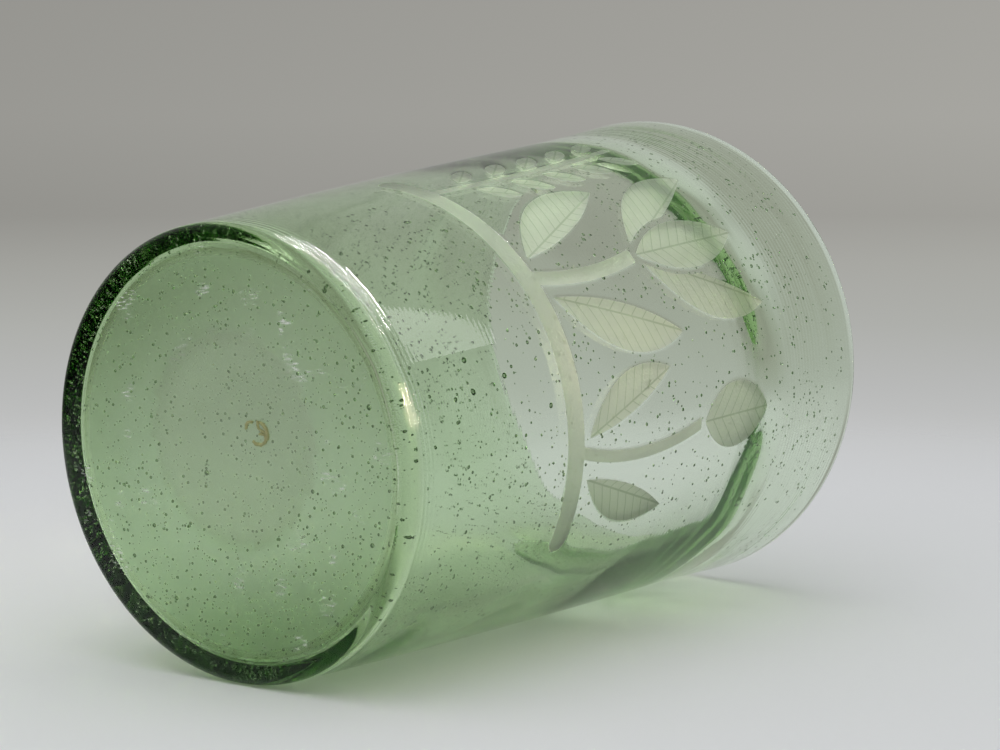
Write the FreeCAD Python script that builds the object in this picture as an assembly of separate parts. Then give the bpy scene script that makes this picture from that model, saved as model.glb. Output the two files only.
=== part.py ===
# Engraved beaker of pale green seedy glass, blown and tooled by hand.
#
# Lengths are in millimetres and angles in degrees. The beaker stands on its foot ring: the
# origin is the middle of the resting plane, +Z runs up the axis to the mouth, and the engraved
# side faces -Y. A bearing is an angle round the axis from -Y, positive towards +X, which is to
# the right for someone who looks at the engraving.
#
# The real beaker is one piece of glass. It is parted here where the glass was worked in
# different ways, and each zone takes its joints from the same named sizes: the blown wall, the
# flared lip, the heel, the pushed-up base, the broken scar of the pontil rod, and the matte
# skin that the engraver's wheel left at the floor of each cut.
import FreeCAD
import Part
import os
from math import asin, atan2, cos, hypot, pi, radians, sin, sqrt

# Outside of the vessel
height = 113.4
foot_radius = 33.2  # widest point of the heel
shoulder_radius = 39.1  # where the lip starts to flare
mouth_radius = 40.7  # widest point of the lip
lip_height = 21.0  # from the shoulder up to the mouth's edge
lip_bend_share = 0.45  # share of the lip's height at which the flare turns out
heel_radius = 1.8  # rounding between the side and the foot ring

# Thickness of the glass
wall = 1.8  # at the shoulder, and thicker from there down to the heel
lip_thickness = 1.8  # the fire rounded the lip without swelling it
heel_wall = 3.0
base_thickness = 3.6
inner_corner_radius = 1.2

# Underside
foot_ring_width = 3.0  # flat band that rests on the table
base_hollow = 1.0  # how far the underside is drawn in between foot ring and kick
kick_radius = 15.3
kick_rise = 1.3  # further rise of the kick at its middle
kick_offset_left = 2.5  # the kick was pushed up a little off the axis
kick_offset_front = 1.1
scar_radius = 2.1
scar_neck_share = 0.75  # the broken stub is narrower at its lower end
scar_drop = 0.8  # how far the stub hangs below the kick
scar_offset_left = 3.7
scar_offset_front = 5.3
flake_radius = 1.8  # shell-shaped chip in the stub
flake_depth = 0.5

# Joint between heel and base, as a place on the inner corner
base_joint_share = 0.33  # share of the inner corner's radius, out from where it starts

# Wheel cutting
cut_depth = 0.5
matte_skin = 0.25  # thickness of the ground glass at the floor of a cut
clear_line = 0.9  # uncut glass left between two strokes

# Ground line under the plants
line_level_share = 0.3  # of the beaker's height
line_width = 4.0
line_left_bearing = -84.0
line_right_bearing = 27.0

# The plants fill the field between ground line and lip. What runs up is a share of the field's
# height, and what runs across is a share of the wall's radius at the middle of the field.
tulip_bearing = -38.0
tulip_stem_height_share = 0.44
tulip_stem_width_share = 0.07
tulip_stem_sway_share = 0.032
tulip_leaf_height_share = 0.5
tulip_leaf_width_share = 0.2
tulip_leaf_reach_share = 0.265
tulip_head_height_share = 0.49
tulip_head_width_share = 0.66
tulip_middle_petal_share = 0.24
tulip_side_swell_share = 0.16  # how far a side petal bellies out from the line foot to tip
tulip_side_hollow_share = 0.027  # and how far in, towards the middle petal

bud_bearing = 5.2
bud_stem_height_share = 0.55
bud_stem_width_share = 0.054
bud_stem_sway_share = 0.058
bud_leaf_height_share = 0.4
bud_leaf_width_share = 0.16
bud_leaf_reach_share = 0.21
bud_height_share = 0.33
bud_width_share = 0.29

sprig_bearing = -73.0
sprig_stalk_height_share = 0.88
sprig_stalk_width_share = 0.04
sprig_lean_share = -0.04
sprig_sway_share = 0.027
sprig_leaf_length_share = 0.148
sprig_leaf_width_share = 0.09
sprig_leaf_pairs = 5
sprig_leaf_pitch_share = 0.156
sprig_first_leaf_share = 0.138
sprig_leaf_spread = 32.0  # degrees from the stalk

leaf_belly_share = 0.75  # share of a leaf's width that lies on its outer side

overrun = 2.0  # tools run past the glass by this much

shoulder_level = height - lip_height
line_low = line_level_share * height
line_top = line_low + line_width
field_height = shoulder_level - line_top
field_middle_share = (line_top + shoulder_level) / 2 / shoulder_level
field_radius = foot_radius + field_middle_share * (shoulder_radius - foot_radius)
tool_reach = max(foot_radius, shoulder_radius, mouth_radius) + overrun

origin = FreeCAD.Vector(0, 0, 0)
axis_up = FreeCAD.Vector(0, 0, 1)
forward = FreeCAD.Vector(0, -1, 0)
down_and_out = FreeCAD.Vector(1, 0, -1).normalize()


def point(radius, level):
    """A point of the section, to the right of the axis."""
    return FreeCAD.Vector(radius, 0, level)


def moved_in(place, distance):
    """The same point of the section, nearer to the axis."""
    return point(place.x - distance, place.z)


def tangent_point(centre, radius, outside, side):
    """Where a line from the point outside touches a circle, on its outer (+1) or inner side."""
    reach = outside - centre
    distance = hypot(reach.x, reach.z)
    turn = atan2(reach.z, reach.x) - side * (1 if reach.z > 0 else -1) * (
        pi / 2 - asin(radius / distance)
    )
    return point(centre.x + radius * cos(turn), centre.z + radius * sin(turn))


def bend(*places):
    """A smooth curve that leaves and arrives along the lines to its middle place."""
    curve = Part.BezierCurve()
    curve.setPoles(list(places))
    return curve.toShape()


def line(start, end):
    return Part.LineSegment(start, end).toShape()


def arc(start, middle, end):
    return Part.Arc(start, middle, end).toShape()


def turned(edges):
    """The solid that a closed section makes round the axis."""
    return Part.Face(Part.Wire(Part.sortEdges(edges)[0])).revolve(origin, axis_up, 360)


def heel_centre():
    return point(foot_radius - heel_radius, heel_radius)


def shoulder():
    """Upper end of the side's straight taper."""
    return point(shoulder_radius, shoulder_level)


def side_foot():
    """Lower end of the taper, where it runs into the rounding of the heel."""
    return tangent_point(heel_centre(), heel_radius, shoulder(), 1)


def lip_middle(inset):
    """Where the flare turns out, on the line of the side's taper."""
    side = shoulder() - side_foot()
    rise = lip_bend_share * lip_height
    return moved_in(shoulder() + side * (rise / side.z), inset)


def rim_centre():
    return point(mouth_radius - lip_thickness / 2, height - lip_thickness / 2)


def corner_centre():
    inside = foot_radius - heel_wall
    return point(inside - inner_corner_radius, base_thickness + inner_corner_radius)


def blown_form():
    """The whole vessel as it left the blower, with a flat underside and a flat floor."""
    in_high = moved_in(shoulder(), wall)
    in_low = tangent_point(corner_centre(), inner_corner_radius, in_high, 1)
    rim = lip_thickness / 2
    rim_out = tangent_point(rim_centre(), rim, lip_middle(0), 1)
    rim_in = tangent_point(rim_centre(), rim, lip_middle(wall), -1)
    heel_mid = heel_centre() + down_and_out * heel_radius
    corner_mid = corner_centre() + down_and_out * inner_corner_radius
    floor_edge = point(corner_centre().x, base_thickness)
    ring_edge = point(heel_centre().x, 0)
    return turned(
        [
            line(origin, ring_edge),
            arc(ring_edge, heel_mid, side_foot()),
            line(side_foot(), shoulder()),
            bend(shoulder(), lip_middle(0), rim_out),
            arc(rim_out, point(rim_centre().x, height), rim_in),
            bend(rim_in, lip_middle(wall), in_high),
            line(in_high, in_low),
            arc(in_low, corner_mid, floor_edge),
            line(floor_edge, point(0, base_thickness)),
            line(point(0, base_thickness), origin),
        ]
    )


def cap(radius, rise, level, left, ahead):
    """A ball whose top stands above the level by the rise, in a circle of the given radius."""
    ball = (radius**2 + rise**2) / (2 * rise)
    return Part.makeSphere(ball, FreeCAD.Vector(-left, -ahead, level + rise - ball))


def foot_hollow():
    """Shallow hollow between the foot ring and the kick."""
    return cap(heel_centre().x - foot_ring_width, base_hollow, 0, 0, 0)


def kick(level):
    """The push-up of the base, above the level."""
    return cap(kick_radius, kick_rise, level, kick_offset_left, kick_offset_front)


def base_joint():
    """The joint's place on the inner corner's curve."""
    out = base_joint_share * inner_corner_radius
    rise = inner_corner_radius - sqrt(inner_corner_radius**2 - out**2)
    return point(corner_centre().x + out, base_thickness + rise)


def vessel():
    """The blown form with its underside drawn in and its base pushed up."""
    glass = blown_form().cut(foot_hollow()).cut(kick(base_hollow))
    floor = Part.makeCylinder(base_joint().x, base_thickness, point(0, base_thickness))
    return glass.fuse(kick(base_thickness).common(floor))


def tube_zone(low, high):
    """All that lies outside the base's joint, between two levels."""
    outer = Part.makeCylinder(tool_reach, high - low, point(0, low))
    return outer.cut(Part.makeCylinder(base_joint().x, high - low, point(0, low)))


def make_lip(glass):
    return glass.common(tube_zone(shoulder_level, height + overrun))


def make_wall(glass):
    return glass.common(tube_zone(base_joint().z, shoulder_level))


def make_heel(glass):
    return glass.common(tube_zone(-overrun, base_joint().z))


def make_base(glass):
    top = base_thickness + kick_rise + overrun
    zone = Part.makeCylinder(base_joint().x, top + overrun, point(0, -overrun))
    return glass.common(zone)


def make_pontil_scar(base):
    """Stub of the pontil rod's glass under the kick, snapped off with a shell-shaped chip."""
    ceiling = base_hollow + kick_rise
    middle = FreeCAD.Vector(-scar_offset_left, -scar_offset_front, ceiling - scar_drop)
    stub = Part.makeCone(scar_neck_share * scar_radius, scar_radius, scar_drop, middle)
    flake_place = middle + FreeCAD.Vector(scar_radius / 2, 0, flake_depth - flake_radius)
    return stub.cut(Part.makeSphere(flake_radius, flake_place)).cut(base)


def outside_band(inset_low, inset_high):
    """A sleeve under the outside of the wall, between two depths below the surface."""
    corners = [
        moved_in(side_foot(), inset_low),
        moved_in(shoulder(), inset_low),
        moved_in(shoulder(), inset_high),
        moved_in(side_foot(), inset_high),
    ]
    return turned([line(corners[i - 1], corners[i]) for i in range(len(corners))])


def front(across, up):
    """A place on the drawing plane, with across to the right and up along the axis."""
    return FreeCAD.Vector(across, 0, up)


def up(share):
    return share * field_height


def across(share):
    return share * field_radius


def stamp(edges, bearing):
    """A punch through the wall: an outline on the drawing plane, driven outwards."""
    face = Part.Face(Part.Wire(Part.sortEdges(edges)[0]))
    return face.extrude(forward * tool_reach).rotate(origin, axis_up, bearing)


def lens(foot, tip, left_swell, right_swell, bearing):
    """A leaf: two arcs from foot to tip that swell to the left and the right."""
    middle = (foot + tip) / 2
    along = tip - foot
    sideways = FreeCAD.Vector(along.z, 0, -along.x).normalize()
    right = arc(foot, middle + sideways * right_swell, tip)
    left = arc(tip, middle - sideways * left_swell, foot)
    return stamp([right, left], bearing)


def strip(foot, tip, width, sway, bearing):
    """A stem of steady width that bends to the right by the sway at its middle."""
    half = front(width / 2, 0)
    middle = (foot + tip) / 2 + front(sway, 0)
    edges = [
        arc(foot - half, middle - half, tip - half),
        line(tip - half, tip + half),
        arc(tip + half, middle + half, foot + half),
        line(foot + half, foot - half),
    ]
    return stamp(edges, bearing)


def plant_leaf(foot, reach, rise, width, side, bearing):
    """A leaf that leans out to one side, with most of its belly on that side."""
    belly, back = leaf_belly_share * width, (1 - leaf_belly_share) * width
    left_swell, right_swell = (back, belly) if side > 0 else (belly, back)
    return lens(foot, foot + front(side * reach, rise), left_swell, right_swell, bearing)


def ground_line():
    """A band round part of the wall with half-round ends."""
    section = Part.makePlane(
        tool_reach, line_width, front(0, line_low), forward, FreeCAD.Vector(1, 0, 0)
    )
    section.rotate(origin, axis_up, line_left_bearing - 90)
    band = section.revolve(origin, axis_up, line_right_bearing - line_left_bearing)
    middle = front(0, line_low + line_width / 2)
    for bearing in (line_left_bearing, line_right_bearing):
        drill = Part.makeCylinder(line_width / 2, tool_reach, middle, forward)
        band = band.fuse(drill.rotate(origin, axis_up, bearing))
    return band


def tulip():
    """Stem, two leaves and three petals, each a stroke of its own."""
    soil = front(0, line_top)
    stem_tip = soil + front(0, up(tulip_stem_height_share))
    width, sway = across(tulip_stem_width_share), across(tulip_stem_sway_share)
    strokes = {"tulip_stem": strip(soil, stem_tip, width, sway, tulip_bearing)}
    for side, name in ((-1, "tulip_leaf_left"), (1, "tulip_leaf_right")):
        strokes[name] = plant_leaf(
            soil + front(side * (width / 2 + clear_line + sway), clear_line),
            across(tulip_leaf_reach_share),
            up(tulip_leaf_height_share),
            across(tulip_leaf_width_share),
            side,
            tulip_bearing,
        )
    cup = stem_tip + front(0, clear_line)
    rise = up(tulip_head_height_share)
    half = across(tulip_middle_petal_share) / 2
    strokes["tulip_petal_middle"] = lens(cup, cup + front(0, rise), half, half, tulip_bearing)
    margin = front(0, 2 * clear_line)
    kept_clear = lens(
        cup - margin, cup + front(0, rise) + margin, half + clear_line, half + clear_line,
        tulip_bearing,
    )
    swells = (across(tulip_side_hollow_share), across(tulip_side_swell_share))
    for side, name in ((-1, "tulip_petal_left"), (1, "tulip_petal_right")):
        foot = cup + front(side * clear_line, 0)
        tip = cup + front(side * across(tulip_head_width_share) / 2, rise)
        petal = lens(foot, tip, swells[side < 0], swells[side > 0], tulip_bearing)
        strokes[name] = petal.cut(kept_clear)
    return strokes


def bud():
    """A closed bud on a swaying stem with two leaves."""
    soil = front(0, line_top)
    stem_tip = soil + front(0, up(bud_stem_height_share))
    width, sway = across(bud_stem_width_share), across(bud_stem_sway_share)
    strokes = {"bud_stem": strip(soil, stem_tip, width, sway, bud_bearing)}
    for side, name in ((-1, "bud_leaf_left"), (1, "bud_leaf_right")):
        clear = width / 2 + clear_line + max(side * sway, 0)
        strokes[name] = plant_leaf(
            soil + front(side * clear, clear_line),
            across(bud_leaf_reach_share),
            up(bud_leaf_height_share),
            across(bud_leaf_width_share),
            side,
            bud_bearing,
        )
    foot = stem_tip + front(0, clear_line)
    half = across(bud_width_share) / 2
    strokes["bud"] = lens(foot, foot + front(0, up(bud_height_share)), half, half, bud_bearing)
    return strokes


def sprig():
    """A thin stalk with paired leaflets along it."""
    soil = front(0, line_top)
    top = soil + front(across(sprig_lean_share), up(sprig_stalk_height_share))
    width, sway = across(sprig_stalk_width_share), across(sprig_sway_share)
    strokes = {"sprig_stalk": strip(soil, top, width, sway, sprig_bearing)}
    turn = radians(sprig_leaf_spread)
    half = across(sprig_leaf_width_share) / 2
    leaves = []
    for pair in range(sprig_leaf_pairs):
        level_share = sprig_first_leaf_share + pair * sprig_leaf_pitch_share
        way_share = level_share / sprig_stalk_height_share
        on_stalk = soil + (top - soil) * way_share + front(sway * sin(pi * way_share), 0)
        for side in (-1, 1):
            foot = on_stalk + front(side * (width / 2 + clear_line), 0)
            tip = foot + front(side * sin(turn), cos(turn)) * up(sprig_leaf_length_share)
            leaves.append(lens(foot, tip, half, half, sprig_bearing))
    strokes["sprig_leaves"] = Part.makeCompound(leaves)
    return strokes


def engraving():
    """Every stroke of the wheel, by name, as a punch through the wall."""
    return {"ground_line": ground_line(), **tulip(), **bud(), **sprig()}


def main():
    glass = vessel()
    base = make_base(glass)
    cut_band = outside_band(cut_depth, -overrun)
    skin_band = outside_band(cut_depth, cut_depth - matte_skin)
    pieces = {}
    blown_wall = make_wall(glass)
    for name, punch in engraving().items():
        blown_wall = blown_wall.cut(punch.common(cut_band))
        pieces[name] = punch.common(skin_band)
    pieces["wall"] = blown_wall
    pieces["lip"] = make_lip(glass)
    pieces["heel"] = make_heel(glass)
    pieces["base"] = base
    pieces["pontil_scar"] = make_pontil_scar(base)
    os.makedirs("parts", exist_ok=True)
    for name, shape in pieces.items():
        shape.exportStep(f"parts/{name}.step")
        print(f"{name}: {len(shape.Solids)} solid(s), {shape.Volume:.1f} mm3, valid {shape.isValid()}")


main()
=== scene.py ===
# %% [markdown]
# # An engraved beaker of green seedy glass
#
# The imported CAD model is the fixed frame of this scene. The beaker stands upright in it, with
# the origin under its foot ring, +Z up the axis and the engraved side towards -Y. In the
# picture it lies on its side on pale paper, with its base towards the viewer. So the camera is
# rolled, and the paper stands along the beaker's +X side.

import bmesh
import bpy
import random
from collections import namedtuple
from math import asin, atan2, cos, degrees, exp, hypot, pi, radians, sin, sqrt
from mathutils import Matrix, Vector, noise


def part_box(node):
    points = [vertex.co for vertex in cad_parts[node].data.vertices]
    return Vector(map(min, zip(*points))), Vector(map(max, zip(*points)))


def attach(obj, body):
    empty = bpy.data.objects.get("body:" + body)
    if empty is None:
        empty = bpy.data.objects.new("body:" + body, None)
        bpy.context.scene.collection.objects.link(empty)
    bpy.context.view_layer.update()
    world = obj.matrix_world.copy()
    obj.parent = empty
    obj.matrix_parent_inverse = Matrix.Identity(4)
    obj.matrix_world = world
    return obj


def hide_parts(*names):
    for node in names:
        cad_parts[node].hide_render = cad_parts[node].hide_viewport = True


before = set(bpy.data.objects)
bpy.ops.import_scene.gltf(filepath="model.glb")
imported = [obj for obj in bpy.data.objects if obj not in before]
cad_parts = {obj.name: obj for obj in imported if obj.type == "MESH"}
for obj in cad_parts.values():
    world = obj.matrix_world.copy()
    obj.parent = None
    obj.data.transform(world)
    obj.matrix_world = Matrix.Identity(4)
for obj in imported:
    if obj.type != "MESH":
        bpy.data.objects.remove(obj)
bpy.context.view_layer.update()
mm = 0.001
print("nodes in the frame:", len(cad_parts))

# %% [markdown]
# ## Sizes
#
# The overall sizes are read from the boxes of the CAD nodes, so the glass that is shown can't
# drift away from the solid that it stands for. The rest repeats the model's own values, in
# millimetres.

# %% Sizes of the vessel
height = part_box("lip")[1].z / mm
mouth_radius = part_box("lip")[1].x / mm
shoulder_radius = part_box("wall")[1].x / mm
shoulder_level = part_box("wall")[1].z / mm
foot_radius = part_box("heel")[0].x / -mm
body_bulge = 0.35  # the side swells a little from the straight taper of the solid
lip_bend_share = 0.45
heel_radius = 1.8
wall = 1.8
shoulder_wall = 2.3
heel_wall = 3.0
lip_thickness = 1.8
base_thickness = 3.6
inner_corner_radius = 1.2
foot_ring_width = 3.0
base_hollow = 1.0
kick_radius, kick_rise = 15.3, 1.3
kick_place = Vector((-2.5, -1.1))
print(f"height {height:.1f}, mouth {mouth_radius:.1f}, shoulder {shoulder_radius:.1f} at "
      f"{shoulder_level:.1f}, foot {foot_radius:.1f} mm")

# %% [markdown]
# ## Camera
#
# The place, lens and roll of the camera come from fitting the beaker's outline to the picture.
# `lying_up` is the direction that points up from the paper when the beaker lies on its side:
# the side tapers, so it isn't quite square to the axis.

# %% Camera
camera_place = Vector((-60.5, -227.8, -246.2)) * mm
camera_forward = Vector((0.1492, 0.5816, 0.7997)).normalized()
camera_right = Vector((0.0386, -0.8115, 0.5830)).normalized()
camera_up = camera_right.cross(camera_forward).normalized()
focal_length = 86.4

camera = bpy.data.objects.new("camera", bpy.data.cameras.new("camera"))
bpy.context.scene.collection.objects.link(camera)
camera.data.lens = focal_length
camera.data.sensor_width = 36.0
camera.data.clip_start, camera.data.clip_end = 0.01, 20.0
turn = Matrix((camera_right, camera_up, -camera_forward)).transposed()
camera.matrix_world = Matrix.Translation(camera_place) @ turn.to_4x4()
bpy.context.scene.camera = camera
bpy.context.scene.view_settings.view_transform = "Standard"

taper = atan2(mouth_radius - foot_radius, height)
lying_up = Vector((-cos(taper), 0, sin(taper)))
away = (camera_forward - lying_up * camera_forward.dot(lying_up)).normalized()
rightwards = camera_right
print("the camera looks down on the paper by",
      round(degrees(asin(-camera_forward.dot(lying_up))), 1), "degrees")

# %% [markdown]
# ## Small helpers
#
# Colours are written as they look on a screen, and one function turns them to the linear
# values that Blender mixes. One more adds a node with its settings and links.

# %% Helpers
def linear(hex_colour):
    """An sRGB hex colour as linear red, green, blue and an opacity of 1."""
    def channel(part):
        value = int(part, 16) / 255
        return value / 12.92 if value <= 0.04045 else ((value + 0.055) / 1.055) ** 2.4
    code = hex_colour.lstrip("#")
    return (*(channel(code[i : i + 2]) for i in (0, 2, 4)), 1.0)


def add(tree, kind, settings=None, **inputs):
    """Adds a node. Inputs are named with _ for a space, or _ and their number, and hold a value
    or another node's output."""
    node = tree.nodes.new(kind)
    for name, value in (settings or {}).items():
        setattr(node, name, value)
    for name, value in inputs.items():
        key = int(name[1:]) if name[1:].isdigit() else name.replace("_", " ")
        socket = node.inputs[key]
        if isinstance(value, bpy.types.NodeSocket):
            tree.links.new(value, socket)
        else:
            socket.default_value = value
    return node


def new_material(name):
    """An empty node material and its tree."""
    material = bpy.data.materials.new(name)
    material.use_nodes = True
    material.node_tree.nodes.clear()
    return material, material.node_tree


def piece_from(bm, name, material):
    """Finishes a bmesh as a smooth piece that rides on the body."""
    mesh = bpy.data.meshes.new(name)
    bm.to_mesh(mesh)
    bm.free()
    mesh.polygons.foreach_set("use_smooth", [True] * len(mesh.polygons))
    mesh.materials.append(material)
    piece = bpy.data.objects.new(name, mesh)
    bpy.context.scene.collection.objects.link(piece)
    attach(piece, "root")
    print(name, "has", sum(len(face.vertices) - 2 for face in mesh.polygons), "triangles")
    return piece


def blend_share(value, low, high):
    """0 below the low value, 1 above the high one, and a smooth S between them."""
    share = min(max((value - low) / (high - low), 0), 1)
    return share * share * (3 - 2 * share)


# %% [markdown]
# ## Section of the glass
#
# A blown vessel is round because the pipe never stops turning, so its shape is a section that
# turns round the axis. The section starts under the base, goes out to the foot ring, round the
# heel, up the side, over the fire-rounded lip and down inside to the floor. Arcs get a few
# points each, and the side gets many, because the wheel's cuts are pressed into it later.

# %% Section
row_step, inner_row_step, floor_step, underside_step = 0.8, 1.7, 1.2, 1.1
lip_rows, inner_lip_rows = 26, 18
heel_rows, rim_rows, corner_rows = 9, 12, 10  # on the three arcs
spin_steps = 288

heel_centre = Vector((foot_radius - heel_radius, heel_radius))
rim_radius = lip_thickness / 2
rim_centre = Vector((mouth_radius - rim_radius, height - rim_radius))
corner_centre = Vector((foot_radius - heel_wall - inner_corner_radius,
                        base_thickness + inner_corner_radius))
side_slope = (shoulder_radius - foot_radius) / (shoulder_level - heel_radius)


def outside_radius(level):
    """Radius of the outer side between heel and shoulder."""
    share = (level - heel_radius) / (shoulder_level - heel_radius)
    return foot_radius + side_slope * (level - heel_radius) + 4 * body_bulge * share * (1 - share)


def wall_at(level):
    """Thickness of the side, which is thinnest at half height."""
    share = (level - heel_radius) / (shoulder_level - heel_radius)
    middle = 2 * wall - (heel_wall + shoulder_wall) / 2
    return (heel_wall * (1 - share) ** 2 + middle * 2 * share * (1 - share)
            + shoulder_wall * share**2)


def arc_points(centre, radius, start, end, count):
    """Points on a circle from one angle to another, in degrees from outwards."""
    for i in range(count + 1):
        turned = radians(start + (end - start) * i / count)
        yield centre + radius * Vector((cos(turned), sin(turned)))


def flare(share, inset, end):
    """The lip's curve, which leaves along the side's taper and ends beside the rim."""
    start = Vector((shoulder_radius - inset, shoulder_level))
    rise = lip_bend_share * (height - shoulder_level)
    middle = start + Vector((side_slope * rise, rise))
    return start * (1 - share) ** 2 + middle * 2 * share * (1 - share) + end * share**2


def rows(low, high, step):
    """Evenly spaced values from one to another, about a step apart."""
    count = round(abs(high - low) / step)
    return [low + (high - low) * i / count for i in range(count + 1)]


ring_inside = heel_centre.x - foot_ring_width
section = [Vector((r, base_hollow * (1 - (r / ring_inside) ** 2)))
           for r in rows(0, ring_inside, underside_step)]
section += list(arc_points(heel_centre, heel_radius, -90, 0, heel_rows))
section += [Vector((outside_radius(z), z)) for z in rows(heel_radius, shoulder_level, row_step)][1:]
rim_out = rim_centre + Vector((rim_radius, 0))
rim_in = rim_centre - Vector((rim_radius, 0))
section += [flare(i / lip_rows, 0, rim_out) for i in range(1, lip_rows + 1)]
section += list(arc_points(rim_centre, rim_radius, 0, 180, rim_rows))[1:]
section += [flare(1 - i / inner_lip_rows, shoulder_wall, rim_in)
            for i in range(1, inner_lip_rows + 1)]
corner_top = corner_centre.y
section += [Vector((outside_radius(z) - wall_at(z), z))
            for z in rows(shoulder_level, corner_top, inner_row_step)][1:]
corner_out = outside_radius(corner_top) - wall_at(corner_top) - inner_corner_radius
section += [p + Vector((corner_out - corner_centre.x, 0))
            for p in arc_points(corner_centre, inner_corner_radius, 0, -90, corner_rows)][1:]
section += [Vector((r, base_thickness)) for r in rows(corner_out, 0, floor_step)][1:]
print("points in the section:", len(section))

# %% [markdown]
# ## The blown body
#
# `bmesh.ops.spin` turns the section round the axis. Merging its doubles closes the poles, and
# recalculating the normals makes every face point out of the glass. Inner and outer faces
# belong to one closed shell, so light crosses the glass as it does in the real thing.

# %% Spin the section
glass = bmesh.new()
line = [glass.verts.new((p.x, 0, p.y)) for p in section]
edges = [glass.edges.new(pair) for pair in zip(line, line[1:])]
bmesh.ops.spin(glass, geom=line + edges, axis=(0, 0, 1), cent=(0, 0, 0), angle=2 * pi,
               steps=spin_steps, use_merge=True)
bmesh.ops.remove_doubles(glass, verts=glass.verts, dist=0.001)
bmesh.ops.recalc_face_normals(glass, faces=glass.faces)
print("faces after the spin:", len(glass.faces))

# %% [markdown]
# ## Plants drawn by distance
#
# The engraver cut plants on a ground line with a small wheel. Each stroke is described by its
# signed distance: how far a place on the wall lies outside the stroke's edge, in millimetres,
# or inside it as a negative number. A leaf is where two circles overlap, and a stem is
# everything near one arc. The smallest of all the distances describes the whole drawing. That
# one number later moves the surface inwards and tells the material where the glass is matte.

# %% Values of the drawing
clear_line = 0.9
line_low = 0.3 * height
line_width = 4.0
line_top = line_low + line_width
line_bearings = (-84.0, 27.0)
field_height = shoulder_level - line_top
field_radius = outside_radius((line_top + shoulder_level) / 2)
leaf_belly_share = 0.75


def up(share):
    """A share of the height of the field above the ground line."""
    return share * field_height


def across(share):
    """A share of the radius of the side behind the field."""
    return share * field_radius


# %% Distances to one stroke
Stroke = namedtuple("Stroke", "distance foot along veined")


def to_circle(place, centre, radius):
    """Signed distance to a circle, negative inside it."""
    return (place - centre).length - radius


def lens(foot, tip, left_swell, right_swell):
    """A leaf shape with its own swell on each side of the line from foot to tip."""
    middle, half = (foot + tip) / 2, (tip - foot).length / 2
    along = (tip - foot).normalized()
    right = Vector((along.y, -along.x))
    circles = []
    for side, swell in ((right, right_swell), (-right, left_swell)):
        radius = (half**2 + swell**2) / (2 * swell)
        circles.append((middle + side * (swell - radius), radius))
    return Stroke(lambda place: max(to_circle(place, *circle) for circle in circles),
                  foot, along, True)


def strip(foot, tip, width, sway):
    """A stem of steady width that bends to the right by the sway."""
    middle, half = (foot + tip) / 2, (tip - foot).length / 2
    along = (tip - foot).normalized()
    radius = (half**2 + sway**2) / (2 * sway)
    centre = middle + Vector((along.y, -along.x)) * (sway - radius)
    return Stroke(lambda place: max(abs(to_circle(place, centre, radius)) - width / 2,
                                    (foot - place).dot(along), (place - tip).dot(along)),
                  foot, along, False)


def plant_leaf(foot, reach, rise, width, side):
    """A leaf that leans out to one side, with most of its belly on that side."""
    belly, back = leaf_belly_share * width, (1 - leaf_belly_share) * width
    left, right = (back, belly) if side > 0 else (belly, back)
    return lens(foot, foot + Vector((side * reach, rise)), left, right)


# %% The three plants
def tulip():
    soil = Vector((0, line_top))
    stem_tip = soil + Vector((0, up(0.44)))
    width, sway = across(0.07), across(0.032)
    strokes = [strip(soil, stem_tip, width, sway)]
    for side in (-1, 1):
        foot = soil + Vector((side * (width / 2 + clear_line + sway), clear_line))
        strokes.append(plant_leaf(foot, across(0.265), up(0.5), across(0.2), side))
    cup = stem_tip + Vector((0, clear_line))
    rise, half = up(0.49), across(0.24) / 2
    top = cup + Vector((0, rise))
    strokes.append(lens(cup, top, half, half))
    margin = Vector((0, 2 * clear_line))
    kept = lens(cup - margin, top + margin, half + clear_line, half + clear_line)
    for side in (-1, 1):
        swells = (across(0.027), across(0.16))[::side]
        tip = cup + Vector((side * across(0.66) / 2, rise))
        petal = lens(cup + Vector((side * clear_line, 0)), tip, *swells)
        strokes.append(petal._replace(distance=lambda place, petal=petal: max(
            petal.distance(place), -kept.distance(place))))
    return strokes


def bud():
    soil = Vector((0, line_top))
    stem_tip = soil + Vector((0, up(0.55)))
    width, sway = across(0.054), across(0.058)
    strokes = [strip(soil, stem_tip, width, sway)]
    for side in (-1, 1):
        foot = soil + Vector((side * (width / 2 + clear_line + max(side * sway, 0)), clear_line))
        strokes.append(plant_leaf(foot, across(0.21), up(0.4), across(0.16), side))
    foot, half = stem_tip + Vector((0, clear_line)), across(0.29) / 2
    return strokes + [lens(foot, foot + Vector((0, up(0.33))), half, half)]


def sprig():
    soil = Vector((0, line_top))
    top = soil + Vector((across(-0.04), up(0.88)))
    width, sway = across(0.04), across(0.027)
    strokes = [strip(soil, top, width, sway)]
    for pair in range(5):
        way = (0.138 + pair * 0.156) / 0.88
        on_stalk = soil.lerp(top, way) + Vector((sway * sin(pi * way), 0))
        for side in (-1, 1):
            foot = on_stalk + Vector((side * (width / 2 + clear_line), 0))
            tip = foot + Vector((side * sin(radians(32)), cos(radians(32)))) * up(0.148)
            strokes.append(lens(foot, tip, across(0.09) / 2, across(0.09) / 2))
    return strokes


plants = ((-38.0, tulip()), (5.2, bud()), (-73.0, sprig()))
print("strokes:", 1 + sum(len(strokes) for bearing, strokes in plants))

# %% [markdown]
# A bearing is the angle round the axis from the engraved side. A plant is drawn on a flat
# plane in front of its own bearing and pressed straight into the round wall, as in the CAD
# model, so a place on the wall is seen from there as so much across and so much up.

# %% Distance to the whole drawing
no_vein = (9.0, 0.0)  # across and along, where a place lies on no leaf
plant_reach = 40  # degrees to each side in which a plant is looked for


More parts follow.
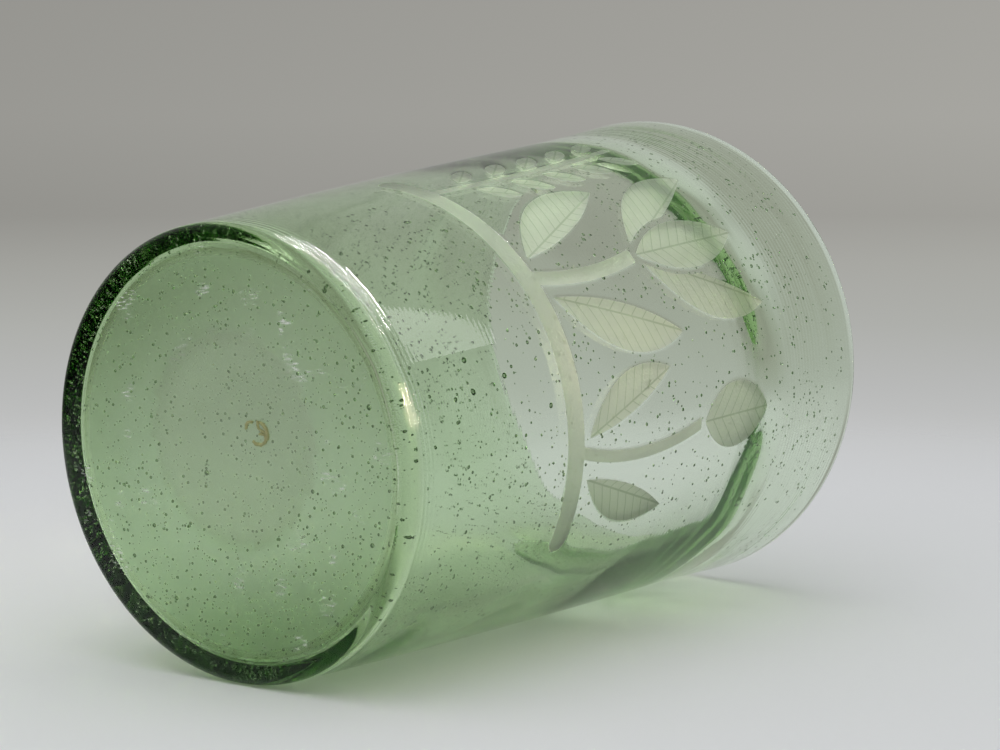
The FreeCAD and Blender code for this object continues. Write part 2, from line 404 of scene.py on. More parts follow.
def cut_at(x, y, z):
    """Signed distance in millimetres from a place on the wall to the nearest stroke's edge, and
    the place across and along that stroke's midrib."""
    bearing = degrees(atan2(x, -y))
    radius = hypot(x, y)
    past = max(line_bearings[0] - bearing, bearing - line_bearings[1], 0)
    nearest = hypot(radians(past) * radius, z - line_low - line_width / 2) - line_width / 2
    vein = no_vein
    for own_bearing, strokes in plants:
        aside = bearing - own_bearing
        if abs(aside) < plant_reach:
            place = Vector((radius * sin(radians(aside)), z))
            for stroke in strokes:
                distance = stroke.distance(place)
                if distance < nearest:
                    reach, along = place - stroke.foot, stroke.along
                    across = reach.x * along.y - reach.y * along.x
                    nearest = distance
                    vein = (across, reach.dot(along)) if stroke.veined else no_vein
    return nearest, *vein


# %% [markdown]
# The mesh needs small faces only where a stroke has its edge. So the distance is measured once,
# the edges that lie near a stroke's border are cut in two, and then it is measured again.

# %% Refine the mesh along the strokes
border = 1.0
drawn_levels = (line_low - border, shoulder_level)


def on_outside(vert):
    return (drawn_levels[0] < vert.co.z < drawn_levels[1]
            and hypot(vert.co.x, vert.co.y) > outside_radius(vert.co.z) - wall / 2)


near = {v for v in glass.verts if on_outside(v) and abs(cut_at(*v.co)[0]) < border}
fine_edges = [e for e in glass.edges if e.verts[0] in near and e.verts[1] in near]
bmesh.ops.subdivide_edges(glass, edges=fine_edges, cuts=1, use_grid_fill=True)
print("faces after refining:", len(glass.faces), "and edges cut:", len(fine_edges))

# %% [markdown]
# ## Signs of the hand
#
# Hot glass is never quite even. The wall drifts in thickness in bands that run round the
# vessel, and one side kept more glass than the rest. Inside the shoulder a cord of thicker
# glass is left where the jacks turned out the lip, strong on two sides and faint between them.
# The jacks leave shallow ripples below the lip, and the base was pushed up a little off its
# middle. Everything is moved inwards or stays, so the body keeps within the solid.
#
# The same loop notes on each vertex, for the material: how worn it is, the haze on the kick and
# the painted shade on the heel and the floor's corner, where rings were rubbed into it, and how far
# it lies from a stroke.

# %% Shapes of the hand's traces
cut_depth = 0.14
cut_edge = 0.9  # width of the cut's sloping border
cord_level, cord_spread, cord_swell = 88.5, 4.5, 1.0
cord_thick_side = Vector((0.90, -0.43))  # way from the axis in which the cord is thickest
cord_second_side = Vector((-0.85, -0.52))
ring_side = Vector((-0.8, -0.6))  # where the rings above the heel catch the light
heavy_side, heavy_swell = Vector((1.0, 0.1)), 0.7  # where the side kept more glass
ripple_zone = (74, 84, 104, 110)  # levels between which the jacks' ripples come and go
ripple_spacing, ripple_depth = 2.3, 0.05


def drift(x, y, z, size):
    """Smooth noise from 0 to 1 with features of about the given size."""
    return 0.5 + 0.5 * noise.noise(Vector((x, y, z)) / size)


def tool_marks(x, y, z):
    """Ripples that the jacks left below the lip, which come and go round the vessel."""
    zone = blend_share(z, *ripple_zone[:2]) * (1 - blend_share(z, *ripple_zone[2:]))
    phase = z / ripple_spacing + 2.5 * drift(x, y, z, 25)
    return zone * (0.5 + 0.5 * sin(2 * pi * phase)) * drift(x, y, 3 * z, 24)


def cord(x, y, z):
    """The ring of thicker glass inside the shoulder, where the jacks turned out the lip."""
    level = cord_level + 3 * (drift(x, y, 0, 22) - 0.5)
    uneven = 0.2 + 1.6 * drift(x, y, z, 14)
    way = Vector((x, y)).normalized()
    lopsided = (0.15 + 2.2 * blend_share(way.dot(cord_thick_side), 0.5, 1.0)
                + 1.3 * blend_share(way.dot(cord_second_side), 0.45, 1.0))
    return cord_swell * exp(-(((z - level) / cord_spread) ** 2)) * uneven * lopsided


def kick(x, y, edge):
    """The push-up of the base, as a height above the plain base, with a soft edge."""
    reach = (Vector((x, y)) - kick_place).length
    inside = 1 - blend_share(reach, kick_radius - edge, kick_radius + edge)
    return kick_rise * inside * (1 - 0.85 * min(reach / kick_radius, 1) ** 2)


# %% Which surface a vertex lies on
near_nought = 0.01


def side_of(vert):
    """Which surface of the glass a vertex of the plain section lies on."""
    radius, level = hypot(vert.co.x, vert.co.y), vert.co.z
    if radius < ring_inside and level < base_thickness / 2:
        return "underside"
    if (base_thickness / 2 < level < base_thickness + near_nought
            and radius < corner_out + near_nought):
        return "floor"
    middle = outside_radius(min(level, shoulder_level)) - wall / 2
    return "inside" if radius < middle and level > base_thickness else "outside"


# %% Move the surface
floor_wear, kick_wear = 0.36, 0.22  # roughness of the floor's film and of the kick
# haze on the kick, and painted shade that darkens the heel's edge and the foot ring
kick_stain, heel_shade = 0.5, 0.6
film_border, corner_shade_border = 1.5, 0.8  # where the floor's film ends and the painted shade in its corner begins
kick_edge, kick_edge_inside = 0.8, 5.0  # half the width of the kick's edge, below and above
scuffs_from, scuffs_full = 14, 20  # radii
heavy_full = 20  # level from which the heavy side has its full thickness
lip_rings = (90, 98)  # levels between which the lip's fine rings set in
heel_rings = (3, 6)  # levels between which the rings above the heel end
layers = glass.verts.layers.float
layer_names = ("cut_distance", "worn", "ridged", "stained", "rubbed", "vein_across", "vein_along")
distance, worn, ridged, stained, rubbed, across_vein, along_vein = map(layers.new, layer_names)
uncut = 5.0

for vert in glass.verts:
    x, y, z = vert.co
    radius, side = hypot(x, y), side_of(vert)
    way = Vector((x, y)).normalized()
    vert[distance], vert[across_vein], vert[along_vein] = uncut, *no_vein
    inward = 0.0
    if side == "underside":
        vert.co.z += kick(x, y, kick_edge)
        on_kick = (Vector((x, y)) - kick_place).length < kick_radius
        vert[worn], vert[stained] = (kick_wear, kick_stain) if on_kick else (0.0, 0.0)
        vert[rubbed] = blend_share(radius, scuffs_from, scuffs_full)
    elif side == "floor":
        vert.co.z += kick(x, y, kick_edge_inside)
        vert[worn] = floor_wear * (1 - blend_share(radius, corner_out - film_border, corner_out))
        # painted shade: the floor is tinted darker towards its corner with the wall
        vert[stained] = blend_share(radius, corner_out - corner_shade_border, corner_out)
    elif side == "inside":
        fading = (blend_share(z, corner_top, heavy_full)
                  * (1 - blend_share(z, shoulder_level + 2, height - 4)))
        heavy = heavy_swell * blend_share(way.dot(heavy_side), 0.1, 1.0)
        thinner = 0.2 * drift(x, y, 2 * z, 40) + 0.06 * drift(x, y, 2 * z, 12)
        inward = cord(x, y, z) + fading * (heavy - thinner)
        vert[ridged] = 0.2 * blend_share(z, *lip_rings)
    else:
        inward = 0.12 * drift(x, y, z, 35) + ripple_depth * tool_marks(x, y, z)
        rubbed_share = blend_share(way.dot(ring_side), 0.0, 0.5) * (1 - blend_share(z, *heel_rings))
        vert[ridged] = 0.02 + 0.7 * rubbed_share + 0.18 * blend_share(z, *lip_rings)
        # painted shade: the heel's edge and the foot ring are tinted darker
        vert[stained] = heel_shade * (1 - blend_share(z, heel_radius, 2 * heel_radius))
        if on_outside(vert):
            vert[distance], vert[across_vein], vert[along_vein] = cut_at(x, y, z)
            inward += cut_depth * (1 - blend_share(vert[distance], -cut_edge, 0))
    share = 1 - inward / radius if radius > foot_radius / 2 else 1
    vert.co.x, vert.co.y = x * share, y * share
print("cut vertices:", sum(v[distance] < 0 for v in glass.verts))

# %% [markdown]
# ## Seedy glass
#
# Soda-lime glass with iron in the sand is pale green, and the green is in its depth: thin
# places look nearly clear and the heel, where light runs a long way inside, looks bottle
# green. That is what Volume Absorption gives. The colour says how much of each primary is let
# through, and the density is per metre. The fire leaves a smooth skin, and the wheel leaves a
# matte one, so the roughness follows the drawn distance. On the leaves finer lines, a midrib
# and side veins, are a shade darker.
#
# Use leaves its own marks. The floor holds a thin film of old dirt, which scatters a little
# light. The base has whitish scuffs, which are noise for the scratches times coarser noise for
# the patches they lie in. Fine rings above the heel catch a lamp as dotted white lines: they
# are a sine wave that runs along the section, broken up by fine noise.

# %% Seedy green glass, blown, with wheel-ground cuts
glass_ior = 1.52
absorbed_per_mm = (0.078, 0.042, 0.102)
absorption = max(absorbed_per_mm) / 0.9 / mm
ground_from, ground_full = -0.02, -0.16  # distances between which a stroke turns matte
polished_roughness, ground_roughness = 0.015, 0.5
vein_spacing, vein_slant = 2.4, -0.8
film_share = 0.35  # how much a worn surface scatters instead of letting through
ridge_spacing, ridge_depth = 0.8, 0.04  # of the rings above the heel
grain_size, grain_depth = 0.5, 0.08  # of the ground glass, coarser than real so that it shows


def glass_volume(tree, output):
    colour = (*(1 - a / mm / absorption for a in absorbed_per_mm), 1)
    volume = add(tree, "ShaderNodeVolumeAbsorption", Color=colour, Density=absorption)
    tree.links.new(volume.outputs[0], output.inputs["Volume"])


def scaled_noise(tree, place, size, detail):
    """Noise whose features have the given size along each axis, in millimetres."""
    stretched = add(tree, "ShaderNodeMapping", Vector=place,
                    Scale=tuple(1 / (part * mm) for part in size)).outputs[0]
    return add(tree, "ShaderNodeTexNoise", Vector=stretched, Scale=1.0, Detail=detail).outputs[0]


def along_section(tree, place):
    """The place with its height less its radius for z, which grows steadily round the heel."""
    parts = add(tree, "ShaderNodeSeparateXYZ", Vector=place).outputs
    flat = add(tree, "ShaderNodeCombineXYZ", X=parts["X"], Y=parts["Y"]).outputs[0]
    radius = add(tree, "ShaderNodeVectorMath", {"operation": "LENGTH"}, _0=flat).outputs["Value"]
    grown = add(tree, "ShaderNodeMath", {"operation": "SUBTRACT"}, _0=parts["Z"],
                _1=radius).outputs[0]
    return add(tree, "ShaderNodeCombineXYZ", X=parts["X"], Y=parts["Y"], Z=grown).outputs[0]


def vein_lines(tree):
    """1 on a leaf's midrib and on its slanting side veins, from the distances in millimetres."""
    across = add(tree, "ShaderNodeAttribute", {"attribute_name": "vein_across"}).outputs["Fac"]
    along = add(tree, "ShaderNodeAttribute", {"attribute_name": "vein_along"}).outputs["Fac"]
    aside = add(tree, "ShaderNodeMath", {"operation": "ABSOLUTE"}, _0=across).outputs[0]
    midrib = add(tree, "ShaderNodeMapRange", {"clamp": True}, Value=aside, From_Min=0.2,
                 From_Max=0.1).outputs[0]
    slant = add(tree, "ShaderNodeMath", {"operation": "MULTIPLY_ADD"}, _0=aside, _1=vein_slant,
                _2=along).outputs[0]
    wave = add(tree, "ShaderNodeMath", {"operation": "PINGPONG"}, _0=slant,
               _1=vein_spacing / 2).outputs[0]
    side = add(tree, "ShaderNodeMapRange", {"clamp": True}, Value=wave, From_Min=0.14,
               From_Max=0.07).outputs[0]
    lines = add(tree, "ShaderNodeMath", {"operation": "MAXIMUM"}, _0=midrib, _1=side).outputs[0]
    near = add(tree, "ShaderNodeMath", {"operation": "LESS_THAN"}, _0=aside,
               _1=no_vein[0] - 1).outputs[0]
    return add(tree, "ShaderNodeMath", {"operation": "MULTIPLY"}, _0=lines, _1=near).outputs[0]


def scuff_marks(tree, place):
    """1 on the whitish scuffs of the base: short scratches that lie together in a few patches."""
    rubbed = add(tree, "ShaderNodeAttribute", {"attribute_name": "rubbed"}).outputs["Fac"]
    patch = add(tree, "ShaderNodeMapRange", {"clamp": True}, From_Min=0.62, From_Max=0.7,
                Value=scaled_noise(tree, place, (5, 5, 5), 0.0)).outputs[0]
    scratch = add(tree, "ShaderNodeMapRange", {"clamp": True}, From_Min=0.57, From_Max=0.63,
                  Value=scaled_noise(tree, place, (0.25, 1.4, 1.0), 2.0)).outputs[0]
    both = add(tree, "ShaderNodeMath", {"operation": "MULTIPLY"}, _0=patch, _1=scratch).outputs[0]
    return add(tree, "ShaderNodeMath", {"operation": "MULTIPLY"}, _0=both, _1=rubbed).outputs[0]


def ring_bump(tree, place):
    """The normal of the rings that wear left above the heel, and fainter below the lip."""
    ridged = add(tree, "ShaderNodeAttribute", {"attribute_name": "ridged"}).outputs["Fac"]
    section_place = along_section(tree, place)
    grown = add(tree, "ShaderNodeSeparateXYZ", Vector=section_place).outputs["Z"]
    wander = add(tree, "ShaderNodeMath", {"operation": "MULTIPLY"}, _1=9.0,
                 _0=scaled_noise(tree, place, (12, 12, 12), 1.0)).outputs[0]
    phase = add(tree, "ShaderNodeMath", {"operation": "MULTIPLY_ADD"}, _0=grown,
                _1=2 * pi / (ridge_spacing * mm), _2=wander).outputs[0]
    wave = add(tree, "ShaderNodeMath", {"operation": "SINE"}, _0=phase).outputs[0]
    dotted = add(tree, "ShaderNodeMath", {"operation": "MULTIPLY"}, _0=wave,
                 _1=scaled_noise(tree, place, (0.3, 0.3, 0.6), 1.0)).outputs[0]
    rings = add(tree, "ShaderNodeMath", {"operation": "MULTIPLY_ADD"}, _1=0.35, _2=dotted,
                _0=scaled_noise(tree, section_place, (1.6, 1.6, 0.5), 2.0)).outputs[0]
    return add(tree, "ShaderNodeBump", Height=rings, Strength=ridged,
               Distance=ridge_depth * mm).outputs[0]


def surface_tint(tree, ground, scuffs):
    """Colour of the surface: fire-polished, ground, on a vein, hazed, in painted shade or scuffed.
    """
    veins = add(tree, "ShaderNodeMath", {"operation": "MULTIPLY"}, _0=vein_lines(tree),
                _1=ground).outputs[0]
    stained = add(tree, "ShaderNodeAttribute", {"attribute_name": "stained"}).outputs["Fac"]
    tint = linear("FBFFFA")
    # CBD2B8 tints the kick's haze and the painted shade on the heel and the floor's corner
    for share, colour in ((ground, "DFE5D2"), (veins, "AEBB9F"), (stained, "CBD2B8"),
                          (scuffs, "F6F8F2")):
        tint = add(tree, "ShaderNodeMix", {"data_type": "RGBA"}, _0=share, _6=tint,
                   _7=linear(colour)).outputs[2]
    return tint


def blown_glass_material():
    """Clear where the fire polished it and matte where the wheel cut it."""
    material, tree = new_material("green_glass_blown_and_wheel_ground")
    place = add(tree, "ShaderNodeTexCoord").outputs["Object"]
    cut = add(tree, "ShaderNodeAttribute", {"attribute_name": "cut_distance"}).outputs["Fac"]
    worn = add(tree, "ShaderNodeAttribute", {"attribute_name": "worn"}).outputs["Fac"]
    ground = add(tree, "ShaderNodeMapRange", {"clamp": True}, Value=cut, From_Min=ground_from,
                 From_Max=ground_full).outputs[0]
    scuffs = scuff_marks(tree, place)

    rough = add(tree, "ShaderNodeMapRange", Value=ground, To_Min=polished_roughness,
                To_Max=ground_roughness).outputs[0]
    rough = add(tree, "ShaderNodeMath", {"operation": "ADD"}, _0=rough, _1=worn).outputs[0]
    rough = add(tree, "ShaderNodeMath", {"operation": "MULTIPLY_ADD"}, _0=scuffs, _1=0.4,
                _2=rough).outputs[0]
    clear = add(tree, "ShaderNodeMapRange", Value=ground, To_Min=1.0, To_Max=0.85).outputs[0]
    for share, lost in ((scuffs, 0.6), (worn, film_share)):
        clear = add(tree, "ShaderNodeMath", {"operation": "MULTIPLY_ADD"}, _0=share, _1=-lost,
                    _2=clear).outputs[0]

    grain = add(tree, "ShaderNodeBump", Strength=ground, Distance=grain_depth * mm,
                Height=scaled_noise(tree, place, (grain_size,) * 3, 3.0),
                Normal=ring_bump(tree, place)).outputs[0]
    shader = add(tree, "ShaderNodeBsdfPrincipled", Base_Color=surface_tint(tree, ground, scuffs),
                 Roughness=rough, IOR=glass_ior, Specular_Tint=linear("A6A8A6"),
                 Transmission_Weight=clear, Normal=grain)
    output = add(tree, "ShaderNodeOutputMaterial", Surface=shader.outputs[0])
    glass_volume(tree, output)
    return material


body = piece_from(glass, "blown_glass", blown_glass_material())
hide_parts(*(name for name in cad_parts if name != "pontil_scar"))

# %% [markdown]
# ## Seeds
#
# Seeds are small gas bubbles that never rose out of the melt. Each one is a tiny closed
# surface inside the glass. Its faces point out of the glass, which is into the bubble, so
# light leaves the glass there and enters it again behind. Their places are drawn at random,
# and in the side they are kept more often where slow noise is high, so they gather in loose
# swarms. Thousands are needed, so most have only twenty faces and smooth normals. They are
# built in small batches that are merged into one mesh, because a bmesh operator slows down as
# its mesh grows, and they make two pieces: one for the side and lip, one for base and heel.

# %% Seeds
dice = random.Random(7)
wall_seeds, base_seeds, heel_seeds = 7400, 2800, 500
batch_size = 150
fine_radius = 0.30  # seeds above this radius get a finer ball
swarm_radius, swarm_size = 30, 14  # the slow noise is read on a cylinder of this radius
skin, side_skin, heel_skin = 0.4, 0.2, 1.2  # glass between a seed and the surface


def seed_radius(least, spread, power):
    """Radius in millimetres: most seeds are specks, and one in a hundred is large."""
    large = 0.25 * dice.random() if dice.random() < 0.01 else 0
    return least + spread * dice.random() ** power + large


def wall_seed(low, high):
    """Place and radius of a seed in the side or the lip, where they gather in loose swarms."""
    while True:
        level = low + (high - low) * dice.random()
        bearing = 2 * pi * dice.random()
        x, y = swarm_radius * cos(bearing), swarm_radius * sin(bearing)
        if 1.5 * drift(x, y, level, swarm_size) > dice.random() + 0.15:
            break
    radius = seed_radius(0.1, 0.19, 2.0)
    lip = max(0, (level - shoulder_level) / (height - shoulder_level))
    thickness = wall_at(min(level, shoulder_level))
    middle = outside_radius(min(level, shoulder_level)) - thickness / 2
    middle += lip * (rim_centre.x - shoulder_radius + wall / 2)
    middle += (dice.random() - 0.5) * max(0.6 * thickness - 2 * radius - side_skin, 0)
    return Vector((middle * cos(bearing), middle * sin(bearing), level)), radius


def base_seed():
    """Place and radius of a seed in the base, out to the heel."""
    reach = (foot_radius - heel_skin) * sqrt(dice.random())
    bearing = 2 * pi * dice.random()
    x, y = reach * cos(bearing), reach * sin(bearing)
    depth = base_hollow + skin + (base_thickness - base_hollow - 2 * skin) * dice.random()
    return Vector((x, y, depth + kick(x, y, kick_edge_inside))), seed_radius(0.075, 0.18, 3.0)


def stretched_ball(place, radius, long_way):
    """Matrix that puts a unit ball at the place, drawn out a little along one direction."""
    turn = long_way.to_track_quat("Z", "Y").to_matrix().to_4x4()
    longer = 1 + 0.4 * dice.random() ** 2
    return Matrix.Translation(place) @ turn @ Matrix.Diagonal((radius, radius, radius * longer, 1))


def seed_mesh(seeds):
    """One bmesh of small balls, made in batches that are merged through a mesh."""
    whole = bmesh.new()
    for start in range(0, len(seeds), batch_size):
        batch = bmesh.new()
        for place, radius in seeds[start : start + batch_size]:
            tangent = Vector((-place.y, place.x, 80 * (dice.random() - 0.5))).normalized()
            bmesh.ops.create_icosphere(batch, subdivisions=2 if radius > fine_radius else 1,
                                       radius=1, matrix=stretched_ball(place, radius, tangent))
        bmesh.ops.recalc_face_normals(batch, faces=batch.faces)
        bmesh.ops.reverse_faces(batch, faces=batch.faces)
        part = bpy.data.meshes.new("batch")
        batch.to_mesh(part)
        batch.free()
        whole.from_mesh(part)
        bpy.data.meshes.remove(part)
    return whole


def seed_material():
    material, tree = new_material("gas_seeds_in_glass")
    shader = add(tree, "ShaderNodeBsdfPrincipled", Base_Color=linear("C4CDBE"), Roughness=0.0,
                 IOR=glass_ior, Transmission_Weight=1.0)
    add(tree, "ShaderNodeOutputMaterial", Surface=shader.outputs[0])
    return material


gas = seed_material()
low_level, heel_level, top_level = 4, 12, height - 3
side_places = [wall_seed(heel_level, top_level) for _ in range(wall_seeds)]
low_places = [wall_seed(low_level, heel_level) for _ in range(heel_seeds)]
low_places += [base_seed() for _ in range(base_seeds)]
seed_pieces = [piece_from(seed_mesh(side_places), "seeds_in_side", gas),
               piece_from(seed_mesh(low_places), "seeds_in_base", gas)]

# %% [markdown]
# ## Scar of the pontil
#
# A hot iron rod held the base while the lip was worked, and broke off at the end. It leaves a
# rough, stained crust of glass and iron scale. Here it is a few short arcs: a small circle is
# spun part of the way round, so its filled ends close it, and noise then crumbles its surface.

# %% Crusty arcs of the scar
scar_place = Vector((-3.7, -5.3))
scar_level = (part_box("pontil_scar")[0].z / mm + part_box("pontil_scar")[1].z / mm) / 2
# each arc's centre, radius, start and sweep in degrees, and thickness
arcs = (((0.2, 0.1), 1.6, 190, 215, 0.26), ((-1.2, -0.9), 1.1, -10, 120, 0.22),
        ((-0.5, 1.5), 0.9, 70, 130, 0.2), ((0.9, -0.4), 0.7, 150, 160, 0.18))
crumbs = ((0.16, 0.45), (0.06, 0.15))  # how far the crust is moved, and the size of the bits


def crust(bm, centre, radius, start, sweep, thickness):
    """Adds one arc of crust, with angles in degrees."""
    middle = Vector((*(scar_place + Vector(centre)), scar_level))
    upright = Matrix.Translation((radius, 0, 0)) @ Matrix.Rotation(pi / 2, 4, "X")
    place = Matrix.Translation(middle) @ (Matrix.Rotation(radians(start), 4, "Z") @ upright)
    ring = bmesh.ops.create_circle(bm, cap_ends=True, segments=8, radius=thickness,
                                   matrix=place)["verts"]
    cap = ring[0].link_faces[0]
    bmesh.ops.spin(bm, geom=[*ring, *cap.edges, cap], axis=(0, 0, 1), cent=middle,
                   angle=radians(sweep), steps=max(4, round(sweep / 9)), use_merge=False)


scar = bmesh.new()
for arc in arcs:
    crust(scar, *arc)
noise.seed_set(7)  # without a seed, noise_vector would give another crust in each run
for vert in scar.verts:
    vert.co += sum((reach * noise.noise_vector(vert.co / size) for reach, size in crumbs), Vector())
bmesh.ops.recalc_face_normals(scar, faces=scar.faces)


def scar_material():
    material, tree = new_material("pontil_scale_on_broken_glass")
    place = add(tree, "ShaderNodeTexCoord").outputs["Object"]
    stain = scaled_noise(tree, place, (0.4, 0.4, 0.4), 4.0)
    colour = add(tree, "ShaderNodeMix", {"data_type": "RGBA"}, _0=stain, _6=linear("8F8C44"),
                 _7=linear("E6E4B0")).outputs[2]
    rough = add(tree, "ShaderNodeBump", Strength=0.8, Distance=0.1 * mm,
                Height=scaled_noise(tree, place, (0.15, 0.15, 0.15), 3.0))
    shader = add(tree, "ShaderNodeBsdfPrincipled", Base_Color=colour, Roughness=0.35, IOR=glass_ior,
                 Transmission_Weight=0.35, Normal=rough.outputs[0])
    add(tree, "ShaderNodeOutputMaterial", Surface=shader.outputs[0])
    return material


scar_piece = piece_from(scar, "pontil_crust", scar_material())
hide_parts("pontil_scar")

# %% [markdown]
# The pieces were modelled in millimetres, as a glass-worker counts. The frame and the render
# count in metres, so each finished mesh is scaled once, and its object stays at the origin.

# %% Metres
for piece in (body, scar_piece, *seed_pieces):
    piece.data.transform(Matrix.Scale(mm, 4))
    piece.data.update()

# %% [markdown]
# ## Paper, background and light
#
# The beaker lies on pale seamless paper that darkens into the distance. Only the paper near it
# is a real surface, which takes its shadow. Further out it fades into a world that has the
# same grey by direction, so no edge shows. A second sheet under the upright beaker is for the
# other views, and lets everything but the eye's own rays through. The back of each sheet lets
# all rays through.
#
# The world answers by the kind of ray. The eye, also through glass, sees the grey sweep. Rays
# that mirror off the glass see a room that is dark behind the camera and light behind the
# beaker, which gives the edges their contrast. All other rays get a plain light grey.

# %% World
sweep_stops = ((0.125, "C9CACB"), (0.175, "C3C4C4"), (0.20, "B8B9B8"), (0.225, "AEAFAB"),
               (0.25, "A5A5A0"), (0.27, "9A9994"), (0.31, "A09F9A"), (0.36, "9D9C97"),
               (0.50, "A2A29E"), (0.75, "BCBCB9"))
mirrored_stops = ((0.0, "2E2F2E"), (0.5, "6A6B6A"), (1.0, "A6A6A2"))
side_fall = 0.45  # how much lighter the background is on the right than in the middle


def grey_ramp(tree, value, stops):
    """Colours by position for a value, from a few given stops."""
    node = add(tree, "ShaderNodeValToRGB", Fac=value)
    ramp = node.color_ramp
    ramp.interpolation = "LINEAR"
    while len(ramp.elements) < len(stops):
        ramp.elements.new(0.5)
    for element, (position, colour) in zip(ramp.elements, stops):
        element.position, element.color = position, linear(colour)
    return node.outputs["Color"]


def background_sweep(tree, upwards, sideways):
    """The grey that the eye sees: paler paper below, darker above, and lighter to the right."""
    rise = add(tree, "ShaderNodeMapRange", Value=upwards, From_Min=-0.3, From_Max=0.7).outputs[0]
    sweep = grey_ramp(tree, rise, sweep_stops)
    lopsided = add(tree, "ShaderNodeMapRange", {"clamp": True}, Value=rise, From_Min=0.225,
                   From_Max=0.275, To_Min=0.0, To_Max=side_fall).outputs[0]
    aside = add(tree, "ShaderNodeMath", {"operation": "MULTIPLY_ADD"}, _0=sideways, _1=lopsided,
                _2=1.0).outputs[0]
    return add(tree, "ShaderNodeVectorMath", {"operation": "SCALE"}, _0=sweep,
               Scale=aside).outputs[0]


def build_world():
    """Answers each kind of ray with its own grey."""
    world = bpy.data.worlds.new("studio")
    world.use_nodes = True
    bpy.context.scene.world = world
    tree = world.node_tree
    tree.nodes.clear()
    direction = add(tree, "ShaderNodeTexCoord").outputs["Generated"]
    axes = (lying_up, rightwards, (0, 0, 1), away + lying_up)
    upwards, sideways, along_axis, backwards = (
        add(tree, "ShaderNodeVectorMath", {"operation": "DOT_PRODUCT"}, _0=direction,
            _1=tuple(axis)).outputs["Value"] for axis in axes)
    lying = add(tree, "ShaderNodeMapRange", {"clamp": True}, Value=along_axis, From_Min=0.40,
                From_Max=0.55).outputs[0]
    seen = add(tree, "ShaderNodeMix", {"data_type": "RGBA"}, _0=lying, _6=linear("C4C5C4"),
               _7=background_sweep(tree, upwards, sideways)).outputs[2]
    behind = add(tree, "ShaderNodeMapRange", {"clamp": True}, Value=backwards, From_Min=-0.2,
                 From_Max=1.0).outputs[0]
    rays = add(tree, "ShaderNodeLightPath").outputs
    lit = add(tree, "ShaderNodeMix", {"data_type": "RGBA"}, _0=rays["Is Glossy Ray"],
              _6=linear("C9CACB"), _7=grey_ramp(tree, behind, mirrored_stops)).outputs[2]
    eye = add(tree, "ShaderNodeMath", {"operation": "MAXIMUM"}, _0=rays["Is Camera Ray"],
              _1=rays["Is Transmission Ray"]).outputs[0]
    colour = add(tree, "ShaderNodeMix", {"data_type": "RGBA"}, _0=eye, _6=lit, _7=seen).outputs[2]
    light = add(tree, "ShaderNodeBackground", Color=colour, Strength=1.0)
    add(tree, "ShaderNodeOutputWorld", Surface=light.outputs[0])


build_world()

# %% Sheets of paper
paper_colour = "E3E4E5"
thin_gap = 0.05 * mm


def paper_material(name, centre, clear_from, clear_to, eye_only):
    """Paper seen from its front, which turns clear with the distance from a centre."""
    material, tree = new_material(name)
    place = add(tree, "ShaderNodeTexCoord").outputs["Object"]
    reach = add(tree, "ShaderNodeVectorMath", {"operation": "DISTANCE"}, _0=place,
                _1=tuple(centre)).outputs["Value"]
    kept = add(tree, "ShaderNodeMapRange", {"clamp": True, "interpolation_type": "SMOOTHSTEP"},
               Value=reach, From_Min=clear_from, From_Max=clear_to, To_Min=1.0,
               To_Max=0.0).outputs[0]
    back = add(tree, "ShaderNodeNewGeometry").outputs["Backfacing"]
    kept = add(tree, "ShaderNodeMath", {"operation": "SUBTRACT", "use_clamp": True}, _0=kept,
               _1=back).outputs[0]
    if eye_only:
        eye = add(tree, "ShaderNodeLightPath").outputs["Is Camera Ray"]
        kept = add(tree, "ShaderNodeMath", {"operation": "MULTIPLY"}, _0=kept, _1=eye).outputs[0]
    paper = add(tree, "ShaderNodeBsdfDiffuse", Color=linear(paper_colour)).outputs[0]
    clear = add(tree, "ShaderNodeBsdfTransparent").outputs[0]
    mix = add(tree, "ShaderNodeMixShader", _0=kept, _1=clear, _2=paper).outputs[0]
    add(tree, "ShaderNodeOutputMaterial", Surface=mix)
    return material


def sheet(name, centre, normal, size, material):
    """A square sheet that belongs to the stage, with its front along the normal."""
    bm = bmesh.new()
    place = Matrix.Translation(centre) @ normal.to_track_quat("Z", "Y").to_matrix().to_4x4()
    bmesh.ops.create_grid(bm, x_segments=1, y_segments=1, size=size, matrix=place)
    mesh = bpy.data.meshes.new(name)
    bm.to_mesh(mesh)
    bm.free()
    mesh.materials.append(material)
    piece = bpy.data.objects.new(name, mesh)
    bpy.context.scene.collection.objects.link(piece)


lying_contact = Vector((foot_radius, 0, heel_radius)) * mm
lying_middle = Vector(((foot_radius + mouth_radius) / 2, 0, height / 2)) * mm
sheet("paper_lying", lying_contact - lying_up * thin_gap, lying_up, 0.8,
      paper_material("seamless_paper", lying_middle, 0.16, 0.34, False))
sheet("paper_standing", Vector((0, 0, -2 * thin_gap)), Vector((0, 0, 1)), 1.2,
      paper_material("seamless_paper_below", Vector((0, 0, 0)), 0.15, 0.6, True))

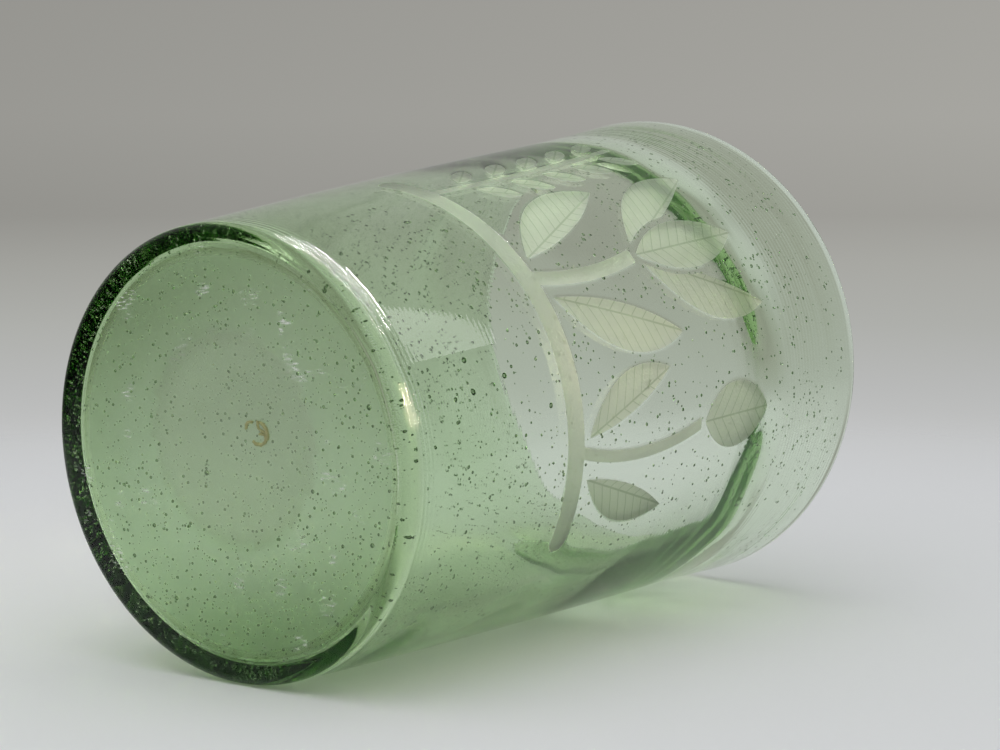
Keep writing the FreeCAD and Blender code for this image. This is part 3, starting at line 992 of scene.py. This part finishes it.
# %% [markdown]
# A wide lamp overhead casts the soft shadow. The other three are only there to be mirrored:
# a window in the lower side, a long thin strip in the rings above the heel, and a small warm
# lamp in the heel's edge. Each is placed by the way the light comes from, seen from its target.

# %% Lamps
def lamp(name, target, way, distance, long_way, size, power):
    """A rectangular lamp that faces a target from a way off, with its long side along long_way."""
    data = bpy.data.lights.new(name, "AREA")
    data.shape, data.size, data.size_y = "RECTANGLE", *size
    data.energy = power
    back = way.normalized()
    side = (long_way - back * long_way.dot(back)).normalized()
    turn = Matrix((side, back.cross(side), back)).transposed().to_4x4()
    piece = bpy.data.objects.new(name, data)
    piece.matrix_world = Matrix.Translation(target + back * distance) @ turn
    bpy.context.scene.collection.objects.link(piece)
    return piece


overhead_distance, lamp_distance = 0.72, 0.6
middle = Vector((0, 0, height / 2)) * mm
heel_side = Vector((-15.5, -30.0, 9.8)) * mm
heel_top = Vector((-28.0, -17.0, 1.5)) * mm
heel_edge = Vector((-4.0, -33.0, 2.0)) * mm

overhead = lamp("overhead", middle, lying_up * 0.97 - away * 0.32 - rightwards * 0.05,
                overhead_distance, rightwards, (0.85, 0.85), 2.05)
overhead.visible_glossy = False
window = lamp("window", heel_side, rightwards * 0.727 + lying_up * 0.633 + away * 0.265,
              lamp_distance, rightwards * 0.32 - lying_up * 0.47 - away * 0.19, (0.28, 0.04), 0.12)
strip_light = lamp("strip", heel_top, Vector((-0.74, -0.06, 0.64)), lamp_distance,
                   Vector((0.15, -1.0, 0.05)), (0.60, 0.012), 2.6)
glint = lamp("glint", heel_edge, rightwards * 0.92 + lying_up * 0.29 - away * 0.13,
             lamp_distance, lying_up, (0.14, 0.04), 6.0)
glint.data.color = linear("FFF0D2")[:3]
for reflected in (window, strip_light, glint):
    reflected.visible_transmission = reflected.visible_diffuse = False

# %% Bounces, enough for light to cross several seeds and walls
cycles = bpy.context.scene.cycles
cycles.max_bounces = cycles.transmission_bounces = 32
cycles.glossy_bounces, cycles.transparent_max_bounces = 24, 16
